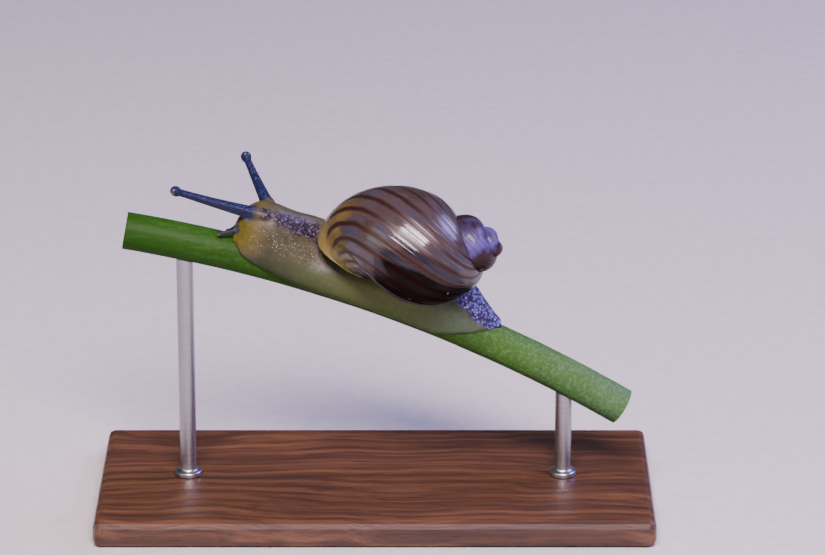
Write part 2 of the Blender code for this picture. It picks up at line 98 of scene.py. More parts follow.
# ---- sizes of the finer forms ----
RIB_HEIGHT, STEM_SWELL = 0.006, 0.02
CUT_END = [(0.97, -0.02), (0.9, 0.03), (0.6, 0.05), (0.3, 0.08)]     # (share of the radius, depth) of a cut
CUT_DISH = 0.1
COLLAR = [(0.9, 0.0), (1.0, 0.06), (1.0, 0.3), (0.94, 0.38), (0.74, 0.42), (0.64, 0.5),
          (ROD_RADIUS, 0.62), (ROD_RADIUS, 1.2)]                     # (radius, height) of a pin's foot
PIN_GAP = 0.02                  # between a pin's top and the stem
SHARP = math.radians(50)        # edges over this stay crisp
FLESH_SUNK = 0.03               # how deep the sole's inside lies in the stem
BEND = 0.04                     # how far a tentacle hangs at its middle
WART_SPACING, WART_HEIGHT = 0.27, 0.045
SKIN_VOXEL = 0.078
SKIN_SMOOTHING = 4
SHELL_ROWS_PER_TURN = 120
SHELL_COLUMNS = 84
SHELL_TURNS = 2.5
FIRST_TURN = -2 * math.pi * SHELL_TURNS         # where the coil starts; the lip stands a little past 0
FOLD_ROWS, FOLD_COLUMNS, OUTER_LIP_STEPS = 60, 40, 90
SHELL_WALL = 0.14
LIP_BEAD = 0.085
ROOT_SUNK = 0.02                # how deep the inner lip's sheet starts under the whorl's surface
GROWTH_WAVES = 0.03             # height of the uneven growth on the last whorl
GROWTH_LEAN, GROWTH_BEND = 1.216, 0.00176
LIP_SLANT = 0.45                # turns behind the lip over which the rows swing into its slant
# where the inner lip's sheet leaves the whorl: degrees at the base, by the share and by its square
ROOT_TURN, ROOT_ACROSS = (-20, -195, 50), (88, -60, 45)


# ---- small helpers ----

def smoothstep(share):
    share = min(max(share, 0.0), 1.0)
    return share * share * (3 - 2 * share)


def ramp(value, low, high):
    """0 below low, 1 above high, smooth between; low may be above high."""
    return smoothstep((value - low) / (high - low))


def curve(start, end, leave, arrive, s):
    """Where a smooth curve stands at share s, from its two ends and the slopes it has there."""
    return (start * (1 + 2 * s) * (1 - s) ** 2 + end * s * s * (3 - 2 * s)
            + leave * s * (1 - s) ** 2 + arrive * s * s * (s - 1))


def along(rows, x):
    """The value at x on the smooth curve through (x, value) rows."""
    if x <= rows[0][0]:
        return rows[0][1]
    if x >= rows[-1][0]:
        return rows[-1][1]
    i = next(k for k in range(len(rows) - 1) if x <= rows[k + 1][0])

    def slope(k):
        if k == 0 or k == len(rows) - 1:
            return 0.0
        before = (rows[k][1] - rows[k - 1][1]) / (rows[k][0] - rows[k - 1][0])
        after = (rows[k + 1][1] - rows[k][1]) / (rows[k + 1][0] - rows[k][0])
        return 0.0 if before * after <= 0 else 2 * before * after / (before + after)

    (x0, y0), (x1, y1) = rows[i], rows[i + 1]
    width = x1 - x0
    return curve(y0, y1, width * slope(i), width * slope(i + 1), (x - x0) / width)


def colour(hex_value):
    """An sRGB hex colour as linear RGBA."""
    channels = [int(hex_value[i:i + 2], 16) / 255 for i in (0, 2, 4)]
    return (*[c / 12.92 if c <= 0.04045 else ((c + 0.055) / 1.055) ** 2.4 for c in channels], 1.0)


def add(tree, kind, inputs=None, stops=None, out=0, **settings):
    """Adds a node with its settings and links, and gives back one of its outputs.

    An input is a number, an sRGB hex colour or another node's output; a stop's tint is a grey or a hex."""
    node = tree.nodes.new(kind)
    for name, value in settings.items():
        setattr(node, name, value)
    if stops:
        while len(node.color_ramp.elements) < len(stops):
            node.color_ramp.elements.new(1.0)
        for element, (place, tint) in zip(node.color_ramp.elements, stops):
            element.position = place
            element.color = colour(tint) if isinstance(tint, str) else (tint, tint, tint, 1.0)
    for socket, value in (inputs or {}).items():
        if isinstance(value, bpy.types.NodeSocket):
            tree.links.new(value, node.inputs[socket])
        else:
            node.inputs[socket].default_value = colour(value) if isinstance(value, str) else value
    return node.outputs[out]


def material(name, **surface):
    """A material whose shader has these plain numbers, its node tree, and the object's own coordinates."""
    made = bpy.data.materials.new(name)
    made.use_nodes = True
    shader = made.node_tree.nodes["Principled BSDF"]
    for socket, value in surface.items():
        shader.inputs[socket.replace("_", " ")].default_value = value
    return made, made.node_tree, add(made.node_tree, "ShaderNodeTexCoord", out=3)    # out: Object


def dressed(made, **values):
    """Joins nodes to the sockets of a material's shader, and gives back the material."""
    shader = made.node_tree.nodes["Principled BSDF"]
    for socket, value in values.items():
        made.node_tree.links.new(value, shader.inputs[socket.replace("_", " ")])
    return made


def new_mesh(name, points, faces, made=None):
    """An object in metres from millimetre points."""
    mesh = bpy.data.meshes.new(name)
    mesh.from_pydata([tuple(Vector(p) * MM) for p in points], [], faces)
    mesh.shade_smooth()
    piece = bpy.data.objects.new(name, mesh)
    bpy.context.scene.collection.objects.link(piece)
    if made:
        mesh.materials.append(made)
    return piece


def only(piece):
    bpy.ops.object.select_all(action="DESELECT")
    piece.select_set(True)
    bpy.context.view_layer.objects.active = piece


def corners(sides):
    """The angle of each corner of a ring."""
    return [2 * math.pi * k / sides for k in range(sides)]


def ring_points(centre, ahead, level, radius, sides):
    """A ring square to the way ahead, its first corner square to level too."""
    side = ahead.cross(level).normalized()
    up = side.cross(ahead)
    return [centre + radius * (math.cos(turn) * side + math.sin(turn) * up) for turn in corners(sides)]


def strip(a, b, sides):
    """Faces between two rings of points, from where each ring starts."""
    return [(a + k, a + (k + 1) % sides, b + (k + 1) % sides, b + k) for k in range(sides)]


def ring_faces(rings, sides, ends=False):
    """Faces between rings of points that follow one another, and over both ends if asked."""
    faces = []
    for i in range(rings - 1):
        faces += strip(i * sides, (i + 1) * sides, sides)
    if ends:
        faces += [tuple(range(sides)), tuple(range((rings - 1) * sides, rings * sides))]
    return faces


def fan_faces(start, sides, middle):
    """Faces from a ring of points to the point in its middle."""
    return [(start + k, start + (k + 1) % sides, middle) for k in range(sides)]


def joined(name, pieces):
    only(pieces[0])
    for piece in pieces:
        piece.select_set(True)
    bpy.ops.object.join()
    pieces[0].name = name
    return pieces[0]


# ---- stem ----

def stem_centre(x):
    """Height of the stem's centre line and the cosine of its slope."""
    run = x - STEM_ARC_CENTRE[0]
    rise = math.sqrt(STEM_ARC_RADIUS ** 2 - run ** 2)
    return STEM_ARC_CENTRE[1] + rise, rise / STEM_ARC_RADIUS


def stem_surface(x, turn, radius):
    """A point round the stem, on the section square to its path."""
    height, slope = stem_centre(x)
    lean = -(x - STEM_ARC_CENTRE[0]) / STEM_ARC_RADIUS
    return Vector((x - lean * radius * math.cos(turn), -radius * math.sin(turn),
                   height + slope * radius * math.cos(turn)))


def make_stem(green, pith):
    """A cut shoot with shallow ribs along it and cut ends that dish in a little."""
    steps, sides, ribs = 240, 96, 17
    turns = corners(sides)
    points = []
    for i in range(steps + 1):
        x = STEM_HALF_SPAN * (2 * i / steps - 1)
        for turn in turns:
            rib = RIB_HEIGHT * math.cos(ribs * turn + 0.4 * math.sin(x / 5))
            swell = STEM_SWELL * noise.noise(Vector((x / 3, math.cos(turn), math.sin(turn))))
            points.append(stem_surface(x, turn, STEM_RADIUS - 2 * RIB_HEIGHT + rib + swell))
    faces = ring_faces(steps + 1, sides)
    for end, start in ((-1, 0), (1, steps * sides)):
        for share, dish in CUT_END:
            ring = len(points)
            x = end * (STEM_HALF_SPAN - dish)
            points += [stem_surface(x, turn, STEM_RADIUS * share) for turn in turns]
            faces += strip(start, ring, sides)
            start = ring
        points.append(stem_surface(end * (STEM_HALF_SPAN - CUT_DISH), 0, 0))
        faces += fan_faces(start, sides, len(points) - 1)
    piece = new_mesh("green_shoot", points, faces, green)
    piece.data.materials.append(pith)
    for face in piece.data.polygons[steps * sides:]:
        face.material_index = 1
    face_outwards(piece)
    piece.data.set_sharp_from_angle(angle=SHARP)
    return piece


def make_pin(side, made):
    """A steel pin turned with a low collar, its top cut to the stem's underside."""
    x = ROD_PLACES[side]
    foot = Vector((x, 0, BASE_TOP)) * MM
    bpy.ops.object.select_all(action="DESELECT")
    bpy.ops.mesh.primitive_circle_add(vertices=48, radius=COLLAR[0][0] * MM, fill_type="TRIFAN",
                                      location=foot)
    piece = bpy.context.object
    piece.name = f"pin_{side}"
    bpy.ops.object.mode_set(mode="EDIT")
    for (radius, height), (next_radius, next_height) in zip(COLLAR, COLLAR[1:]):
        rise, widen = (next_height - height) * MM, next_radius / radius
        bpy.ops.mesh.extrude_region_move(TRANSFORM_OT_translate={"value": (0, 0, rise)})
        bpy.ops.transform.resize(value=(widen, widen, 1), center_override=foot)
    bpy.ops.mesh.extrude_region_move()          # the rod itself, whose top is set under the stem below
    bpy.ops.object.mode_set(mode="OBJECT")
    bpy.ops.object.transform_apply(location=True, rotation=True, scale=True)
    for vertex in piece.data.vertices:
        if vertex.select:
            height = stem_centre(vertex.co.x / MM)[0]
            under = math.sqrt(STEM_RADIUS ** 2 - (vertex.co.y / MM) ** 2) / stem_centre(x)[1]
            vertex.co.z = (height - under - PIN_GAP) * MM
    piece.data.materials.append(made)
    piece.data.shade_smooth()
    face_outwards(piece)
    piece.data.set_sharp_from_angle(angle=SHARP)
    return piece


def face_outwards(piece):
    shape = bmesh.new()
    shape.from_mesh(piece.data)
    bmesh.ops.remove_doubles(shape, verts=shape.verts, dist=1e-8)
    bmesh.ops.recalc_face_normals(shape, faces=shape.faces)
    shape.to_mesh(piece.data)
    shape.free()


# ---- flesh ----

def body_radius(x, turn):
    """Distance from the stem's centre line to the skin; turn runs from the crest, + to the left side."""
    crest = along(CREST, x)
    width = along(HALF_WIDTH_LEFT if turn > 0 else HALF_WIDTH_RIGHT, x)
    upright = CREST_SHARE * crest
    middle = crest - upright
    a = (math.sin(turn) / width) ** 2 + (math.cos(turn) / upright) ** 2
    b = -2 * middle * math.cos(turn) / upright ** 2
    c = (middle / upright) ** 2 - 1
    oval = (-b + math.sqrt(b * b - 4 * a * c)) / (2 * a)
    hem = min(HEM, crest)
    return (oval ** 8 + hem ** 8) ** 0.125


def sway(x, rise):
    """How far the upper part of the neck and trunk leans to the right side."""
    return along(SWAY, x) * smoothstep((rise - SWAY_LOW) / (SWAY_HIGH - SWAY_LOW))


def body_point(x, turn, radius):
    height, slope = stem_centre(x)
    rise = radius * math.cos(turn)
    return Vector((x, sway(x, rise) - radius * math.sin(turn), height + rise / slope))


def stem_angle(point):
    """Where a point of the body stands round the stem, in degrees from the crest."""
    height, slope = stem_centre(point.x)
    rise = (point.z - height) * slope
    return math.degrees(math.atan2(sway(point.x, rise) - point.y, rise))


def body_loft():
    """The whole body as one closed loft over the stem."""
    steps, columns, inner = 170, 56, STEM_RADIUS - FLESH_SUNK
    points = []
    for i in range(steps + 1):
        x = BODY_FRONT + BODY_LENGTH * i / steps
        left, right = math.radians(along(MARGIN_LEFT, x)), math.radians(along(MARGIN_RIGHT, x))
        skin = []
        for k in range(columns + 1):
            turn = -right + (left + right) * k / columns
            fade = math.sqrt(max(0.0, 1 - abs(turn / (left if turn > 0 else right)) ** 6))
            skin.append((turn, inner + max(body_radius(x, turn) - inner, 0.02) * fade))
        points += [body_point(x, turn, radius) for turn, radius in skin]
        points += [body_point(x, turn, inner - 0.01) for turn, _ in skin[-2:0:-1]]
    return points, ring_faces(steps + 1, 2 * columns, ends=True)


def tentacle_path(tentacle, share):
    return tentacle.base.lerp(tentacle.tip, share) - BEND * UP * math.sin(math.pi * share)


def tentacle_radius(tentacle, share):
    """Tapers to the neck below the bulb, and flares where it leaves the head."""
    length = (tentacle.tip - tentacle.base).length
    stalk = tentacle.tip_radius + (tentacle.base_radius - tentacle.tip_radius) * (1 - share) ** 1.4
    flare = 0.22 * tentacle.base_radius * ramp(share * length, 1.1, -0.4)
    past_tip = (share - 1) * length / tentacle.bulb_radius
    bulb = tentacle.bulb_radius * math.sqrt(max(0.0, 1 - (past_tip / 1.1) ** 2))
    return bulb if share > 1 else max(stalk + flare, bulb)


def tentacle_tube(tentacle):
    """Points and faces of one tentacle with its bulb, from inside the head to its tip."""
    way = tentacle.tip - tentacle.base
    length, ahead = way.length, way.normalized()
    last = 1 + 1.09 * tentacle.bulb_radius / length
    first = -0.5 / length
    steps, sides = int(length / 0.05), 24
    points = []
    for i in range(steps + 1):
        share = first + (last - first) * (1 - (1 - i / steps) ** 1.5)
        centre = tentacle_path(tentacle, max(share, 0)) + ahead * min(share, 0) * length
        points += ring_points(centre, ahead, UP, tentacle_radius(tentacle, share), sides)
    return points, ring_faces(steps + 1, sides, ends=True)


def nearest_on_tentacle(point):
    """(share along, distance over radius, height over the path) for the tentacle nearest a point."""
    best = (0.0, 9.0, 0.0)
    for tentacle in TENTACLES.values():
        way = tentacle.tip - tentacle.base
        share = (point - tentacle.base).dot(way) / way.length_squared
        off = point - tentacle_path(tentacle, min(max(share, 0), 1))
        reach = off.length / max(tentacle_radius(tentacle, min(max(share, 0), 1)), 0.1)
        if share > -0.1 and reach < best[1]:
            best = (share, reach, off.z / max(off.length, 0.05))
    return best


def wobble(point, size, seed=0.0):
    return noise.noise(point / size + Vector((seed, 0, 0)))


def skin_zones(point):
    """How much of each marking a point of the skin takes, by its x and its degrees round from the crest."""
    x = point.x
    turn = abs(stem_angle(point))
    share, reach, over = nearest_on_tentacle(point)
    soft = wobble(point, 0.35) * 4 + wobble(point, 0.12, 7.0) * 3
    tentacle = ramp(reach + 0.03 * soft, 1.6, 1.15) * ramp(share + 0.004 * soft, 0.0, 0.13)
    tentacle *= 1 - 0.12 * ramp(point.z, 21.9, 21.6) * ramp(x, -9.3, -9.6)
    centre = 17 + 1.5 * ramp(x, -5, -3)
    half = 4.5 + 3.5 * ramp(x, -8, -5)
    band = ramp(abs(turn + soft - centre), half + 2, half - 2) * ramp(x, -8.6, -7.8) * ramp(x, 2, 0)
    edge = 40 + 8 * ramp(x, 6.0, 7.3) - 10 * ramp(x, 8.0, 9.0)
    tail = ramp(turn + soft, edge + 3, edge - 3) * ramp(x + 0.04 * soft, 5.6, 6.1)
    mouth = ramp(x + 0.012 * turn + 0.05 * soft, -6.7, -8.9) * ramp(turn, 80, 40)
    under_shell = 0.5 * ramp(turn, 104, 66) * ramp(x, -3.2, -0.4) * ramp(x, 5.4, 3.2)
    foot = ramp(turn + soft, 35 - 9 * ramp(x, 0, 4), 80 - 14 * ramp(x, 0, 4)) * ramp(x, -9.4, -7.4)
    granules = ramp(turn + 2 * soft, 24, 32) * ramp(turn + 2 * soft, 68, 46) * ramp(x, -9.4, -8.6)
    granules *= ramp(x, -2.5, -4.5)
    over = 0.5 + 0.5 * over - 0.4 * ramp(share, 0.99, 1.04)
    return dict(band=band, tail=tail, tentacle=tentacle, over=over, warm=max(mouth, under_shell),
                foot=foot, granules=granules, length=(x - BODY_FRONT) / BODY_LENGTH)


def make_flesh(skin):
    """Body and tentacles fused into one skin, with its warts and its markings."""
    parts = [new_mesh("body_part", *body_loft())]
    parts += [new_mesh("tentacle_part", *tentacle_tube(t)) for t in TENTACLES.values()]
    for part in parts:
        face_outwards(part)
    piece = joined("snail_flesh", parts)
    piece.data.transform(Matrix.Scale(1 / MM, 4))
    remesh = piece.modifiers.new("fuse", "REMESH")
    remesh.mode = "VOXEL"
    remesh.voxel_size = SKIN_VOXEL
    smooth = piece.modifiers.new("soften", "SMOOTH")
    smooth.iterations = SKIN_SMOOTHING
    smooth.factor = 0.5
    only(piece)
    for modifier in list(piece.modifiers):
        bpy.ops.object.modifier_apply(modifier=modifier.name)

    mesh = piece.data
    first = mesh.attributes.new("zones", "FLOAT_COLOR", "POINT")
    second = mesh.attributes.new("zones_low", "FLOAT_COLOR", "POINT")
    normals = [v.normal.copy() for v in mesh.vertices]
    for vertex, normal in zip(mesh.vertices, normals):
        point = vertex.co.copy()
        zone = skin_zones(point)
        first.data[vertex.index].color = (zone["band"], zone["tail"], zone["tentacle"], zone["over"])
        second.data[vertex.index].color = (zone["warm"], zone["foot"], zone["granules"], zone["length"])
        root = zone["tentacle"] * (1 - zone["tentacle"])
        warts = max(0.55 * zone["granules"], 0.9 * zone["band"], 1.2 * zone["tail"], 1.6 * root)
        if warts > 0.02:
            near = noise.voronoi(point / WART_SPACING)[0]
            vertex.co = point + normal * WART_HEIGHT * warts * (0.35 - near[0])
    mesh.transform(Matrix.Scale(MM, 4))
    mesh.shade_smooth()
    mesh.materials.append(skin)
    return piece


def make_eye(side, tentacle, made):
    """The dark bead in the end of a long tentacle."""
    pointing = (tentacle.tip - tentacle_path(tentacle, 0.9)).normalized()
    centre = tentacle.tip + (pointing + EYE_LEAN).normalized() * EYE_OUT
    bpy.ops.mesh.primitive_uv_sphere_add(segments=32, ring_count=20, radius=EYE_RADIUS * MM,
                                         location=centre * MM)
    piece = bpy.context.object
    piece.name = f"eyeball_{side}"
    bpy.ops.object.transform_apply(location=True, rotation=True, scale=True)
    bpy.ops.object.shade_smooth()
    piece.data.materials.append(made)
    return piece


# ---- shell ----

GROWTH = math.log(WHORL_RATIO) / (2 * math.pi)
AXIS = Vector((-math.cos(AXIS_RISE) * math.cos(AXIS_TURN), math.cos(AXIS_RISE) * math.sin(AXIS_TURN),
               -math.sin(AXIS_RISE)))
SHELL_UP = (UP - AXIS * AXIS.z).normalized()
SHELL_SIDE = AXIS.cross(SHELL_UP)


def profile(t, grow=0.0):
    """Distance off the axis and height from the apex on the last whorl's outline at angle t."""
    out, height = (PROFILE_OUT + grow) * math.cos(t), (PROFILE_ALONG + grow) * math.sin(t)
    return (PROFILE_RADIUS + out * math.cos(PROFILE_LEAN) - height * math.sin(PROFILE_LEAN),
            PROFILE_HEIGHT + out * math.sin(PROFILE_LEAN) + height * math.cos(PROFILE_LEAN))


def blunted(radius, height):
    """Widens and shortens the first whorls, so the shell ends in a blunt dome."""
    young = 1 - smoothstep(height / BLUNT_REACH)
    return radius * (1 + BLUNT_WIDEN * young), height + BLUNT_SHIFT * young


def shell_point(turn, t, grow=0.0):
    """A point of the shell's outside, or so far over it, at that angle of the spiral."""
    scale = math.exp(GROWTH * turn)
    radius, height = profile(t, grow / scale)
    angle = turn + SPIRAL_PHASE
    off_axis = math.cos(angle) * SHELL_UP + math.sin(angle) * SHELL_SIDE
    radius, height = blunted(scale * radius, scale * height)
    return SHELL_APEX + radius * off_axis + height * AXIS


def shell_normal(turn, t):
    step = 0.01
    along_spiral = shell_point(turn + step, t) - shell_point(turn - step, t)
    along_profile = shell_point(turn, t + step) - shell_point(turn, t - step)
    return along_profile.cross(along_spiral).normalized()


def solve(function, low, high):
    """The root of a function between two bounds of opposite sign."""
    for _ in range(60):
        middle = (low + high) / 2
        if (function(low) > 0) == (function(middle) > 0):
            low = middle
        else:
            high = middle
    return (low + high) / 2


def in_profile(radius, height):
    """A place off the axis as shares of the last whorl's two half widths, from the middle of its outline."""
    out, rise = radius - PROFILE_RADIUS, height - PROFILE_HEIGHT
    return ((out * math.cos(PROFILE_LEAN) + rise * math.sin(PROFILE_LEAN)) / PROFILE_OUT,
            (rise * math.cos(PROFILE_LEAN) - out * math.sin(PROFILE_LEAN)) / PROFILE_ALONG)


def inside_previous(t):
    """Above 0 where the outline at t stands clear of the whorl before it."""
    radius, height = profile(t)
    return math.hypot(*in_profile(WHORL_RATIO * radius, WHORL_RATIO * height)) - 1


SUTURE = solve(inside_previous, math.radians(-100), math.radians(-40))
LOWER_SUTURE = solve(lambda t: profile(t)[1] - WHORL_RATIO * profile(SUTURE)[1], math.radians(-60),
                     math.radians(60))
COLUMELLA = solve(lambda t: profile(t)[0] - 0.08, math.radians(90), math.radians(150))


def growth_line(turn, t):
    """Which growth line, in degrees of turn, passes a point: the lines lean forward towards the base."""
    degrees = math.degrees(t)
    return math.degrees(turn) - GROWTH_LEAN * degrees + GROWTH_BEND * degrees ** 2


def lip_turn(t):
    """How far round the lip stands at t: straight down from the suture, then back towards the base."""
    share = (t - LOWER_SUTURE) / (LIP_BASE_REACHED - LOWER_SUTURE)
    past = (t - LIP_BASE_REACHED) / (INNER_LIP_END - LIP_BASE_REACHED)
    return (LIP_AT_SUTURE + (LIP_AT_BASE - LIP_AT_SUTURE) * smoothstep(share)
            - INNER_LIP_SETBACK * smoothstep(past / SETBACK_REACHED))


def lip_edge(share):
    """(turn, t) of the inner lip, from the base on past the axis to the near side."""
    t = LIP_BASE_REACHED + (INNER_LIP_END - LIP_BASE_REACHED) * share
    return lip_turn(t), t


def spiral_place(point):
    """The (turn, t) of the last whorl's surface nearest to a point over it."""
    off = point - SHELL_APEX
    height = off.dot(AXIS)
    outward = off - height * AXIS
    turn = math.atan2(outward.dot(SHELL_SIDE), outward.dot(SHELL_UP)) - SPIRAL_PHASE
    if turn < -1.2 * math.pi:
        turn += 2 * math.pi
    scale = math.exp(GROWTH * turn)
    across, down = in_profile(outward.length / scale, height / scale)
    return turn, math.atan2(down, across)


def shell_zones(turn, t):
    """Shares of the yellow new growth, the dark belly (a painted slate reflection below a half, above it
    near-black, partly the dark body seen through the shell and partly painted shade), the older whorls and
    the hem.
    """
    degrees, across = math.degrees(turn), math.degrees(t)
    new_growth = -48 - 60 * smoothstep((across - 66) / 22) - 12 * smoothstep((across - 88) / 20)
    yellow = ramp(degrees, new_growth - 6, new_growth + 6) * ramp(across, 22, 62)
    plum = -98 - 1.3 * max(0, across - 41) - 0.62 * max(0, 41 - across) - 0.6 * max(0, -across)
    upper = -96 - 0.85 * max(0, -across)
    slate = max(ramp(degrees, upper + 4, upper - 4) * ramp(across, 40, 30), 0.8 * ramp(degrees, -108, -132))
    dark = (0.5 * slate + 0.5 * ramp(degrees, plum + 4, plum - 5)) * ramp(across, -50, -34)
    older = ramp(degrees, -185, -235)
    hem = ramp(turn - lip_turn(t), math.radians(-38), math.radians(-24))
    return yellow, dark * (1 - older), older, hem


def sheet(name, rows, columns, place, wall):
    """A thick sheet, closed all round; its UV is (growth line, profile angle), both in turns."""
    outside = [[place(i / rows, k / columns) for k in range(columns + 1)] for i in range(rows + 1)]
    points, spiral, zones = [], [], []
    for depth in (0, 1):
        for row in outside:
            for point, normal, thin, line, t, zone in row:
                points.append(point - normal * wall * thin * depth)
                spiral.append((line / 360, t / (2 * math.pi)))
                zones.append(zone)
    span = columns + 1
    inside = (rows + 1) * span
    faces = []
    for i in range(rows):
        for k in range(columns):
            a, b = i * span + k, (i + 1) * span + k
            faces.append((a, a + 1, b + 1, b))
            faces.append((inside + b, inside + b + 1, inside + a + 1, inside + a))
    rim = list(range(columns)) + [i * span + columns for i in range(rows)]
    rim += [rows * span + k for k in range(columns, 0, -1)] + [i * span for i in range(rows, 0, -1)]
    for a, b in zip(rim, rim[1:] + rim[:1]):
        faces.append((b, a, inside + a, inside + b))
    return marked(new_mesh(name, points, faces), spiral, zones)


def marked(piece, spiral, zones):
    """Gives a piece of the shell its UV and its zones, one of each for a vertex."""
    layer = piece.data.uv_layers.new(name="spiral")
    for loop in piece.data.loops:
        layer.data[loop.index].uv = spiral[loop.vertex_index]
    shares = piece.data.attributes.new("shell_zones", "FLOAT_COLOR", "POINT")
    for vertex in piece.data.vertices:
        shares.data[vertex.index].color = zones[vertex.index]
    return piece


def unevenness(turn, t):
    """How far the grown surface stands off the smooth one: low waves along the growth lines."""
    line = growth_line(turn, t)
    waves = noise.noise(Vector((line / 13, 0.5 * t, 0))) + 0.5 * noise.noise(Vector((line / 4.5, 0.8 * t, 5)))
    fall = ramp(t, SUTURE, SUTURE + 0.45) * ramp(t, COLUMELLA, COLUMELLA - 0.7)
    return GROWTH_WAVES * (waves * fall - 1) * math.exp(GROWTH * turn)


def whorl_place(share, across):
    """A grid point of the coil: share runs up the spiral to the lip, across from suture to columella."""
    t = SUTURE + (COLUMELLA - SUTURE) * across
    slant = smoothstep((share - 1 + LIP_SLANT / SHELL_TURNS) / (LIP_SLANT / SHELL_TURNS))
    turn = FIRST_TURN * (1 - share) + lip_turn(t) * slant
    point = shell_point(turn, t, unevenness(turn, t))
    thickness = math.exp(GROWTH * turn)
    return point, shell_normal(turn, t), thickness, growth_line(turn, t), t, shell_zones(turn, t)


def inner_lip_point(share, across):
    """The sheet from the last whorl's near side to the inner lip, level with the whorl where it leaves it."""
    root_turn, root_t = (math.radians(first + second * share + third * share ** 2)
                         for first, second, third in (ROOT_TURN, ROOT_ACROSS))
    root = shell_point(root_turn, root_t, unevenness(root_turn, root_t) - ROOT_SUNK)
    edge = shell_point(*lip_edge(share))
    normal = shell_normal(root_turn, root_t)
    span = edge - root
    leave = (span - normal * span.dot(normal)).normalized() * span.length
    return curve(root, edge, leave, span + (span - leave), across)


def inner_lip_place(share, across):
    """A grid point of the inner lip's sheet, marked as the whorl under it is."""
    point, step = inner_lip_point(share, across), 0.01
    down = inner_lip_point(share + step, across) - inner_lip_point(share - step, across)
    over = inner_lip_point(share, across + step) - inner_lip_point(share, across - step)
    turn, t = spiral_place(point)
    yellow, dark, older, _ = shell_zones(turn, t)
    # darker deeper in the aperture, towards the near side and the whorl: painted shade
    dark = max(dark, ramp(share - 0.25 * across, 0.46, 0.64))
    zone = (yellow * (1 - dark), dark, older, ramp(across, 0.45, 0.8))
    return point, over.cross(down).normalized(), 1.0, growth_line(turn, t), t, zone


def bead(name, path, radius):
    """A round bead along a path, closed at both ends."""
    sides = 12
    points = []
    for i, centre in enumerate(path):
        ahead = (path[min(i + 1, len(path) - 1)] - path[max(i - 1, 0)]).normalized()
        taper = math.sqrt(ramp(min(i, len(path) - 1 - i), -2, 8))
        points += ring_points(centre, ahead, AXIS, radius * taper, sides)
    return new_mesh(name, points, ring_faces(len(path), sides, ends=True))


def nucleus_dome():
    """The rounded first shell that closes the top of the coil."""
    ring, layers = 48, 10
    outline = [shell_point(FIRST_TURN, t) for t in corners(ring)]
    centre = sum(outline, Vector()) / ring
    back = (shell_point(FIRST_TURN, 0) - shell_point(FIRST_TURN + 0.1, 0)).normalized()
    reach = (outline[0] - centre).length
    points = list(outline)
    for j in range(1, layers):
        angle = math.pi / 2 * j / layers
        points += [centre + (p - centre) * math.cos(angle) + back * reach * math.sin(angle) for p in outline]
    points.append(centre + back * reach)
    faces = ring_faces(layers, ring) + fan_faces((layers - 1) * ring, ring, len(points) - 1)
    faces.append(tuple(range(ring - 1, -1, -1)))
    return marked(new_mesh("nucleus", points, faces), [(0, 0)] * len(points), [(0, 0, 1, 0)] * len(points))


def make_shell(horn, lip):
    """The coil, the inner lip's sheet, the bead on the whole edge and the first dome, in one mesh."""
    rows = int(SHELL_ROWS_PER_TURN * SHELL_TURNS)
    coil = sheet("coil", rows, SHELL_COLUMNS, whorl_place, SHELL_WALL)
    fold = sheet("fold", FOLD_ROWS, FOLD_COLUMNS, inner_lip_place, SHELL_WALL)
    rim = []
    for i in range(OUTER_LIP_STEPS):
        t = SUTURE + (LIP_BASE_REACHED - SUTURE) * i / OUTER_LIP_STEPS
        rim.append(shell_point(lip_turn(t), t, unevenness(lip_turn(t), t) - SHELL_WALL / 2))
    for i in range(FOLD_ROWS + 1):
        point, normal = inner_lip_place(i / FOLD_ROWS, 1.0)[:2]
        rim.append(point - normal * SHELL_WALL / 2)
    edge = bead("bead", rim, LIP_BEAD)
    count = len(edge.data.vertices)
    marked(edge, [(0, 0)] * count, [(1, 0, 0, 1)] * count)
    pieces = [coil, fold, edge, nucleus_dome()]
    for piece in pieces:
        piece.data.materials.append(horn)
        piece.data.materials.append(lip)
    for face in edge.data.polygons:
        face.material_index = 1
    piece = joined("coiled_shell", pieces)
    face_outwards(piece)
    piece.data.shade_smooth()
    return piece


# ---- finishes ----

MATHS, MIX, BAND = "ShaderNodeMath", "ShaderNodeMix", "ShaderNodeValToRGB"
NOISE, CELLS, BUMP = "ShaderNodeTexNoise", "ShaderNodeTexVoronoi", "ShaderNodeBump"
SHARES, PARTS = "ShaderNodeAttribute", "ShaderNodeSeparateColor"
VECTORS, XYZ = "ShaderNodeVectorMath", "ShaderNodeSeparateXYZ"
TINTS = dict(data_type="RGBA", out=2)           # a colour Mix: factor 0, colours 6 and 7
SHADED = dict(blend_type="MULTIPLY", **TINTS)
TIMES = dict(operation="MULTIPLY")
SCALED = dict(operation="MULTIPLY_ADD")         # 0 times 1, plus 2


def plain_finish(made, tree, texture, tints, glosses, strength, depth):
    """Colour, gloss and relief that all follow one texture."""
    return dressed(made, Base_Color=add(tree, BAND, {0: texture}, stops=tints),
                   Roughness=add(tree, BAND, {0: texture}, stops=glosses),
                   Normal=add(tree, BUMP, {"Height": texture, "Strength": strength, "Distance": depth}))


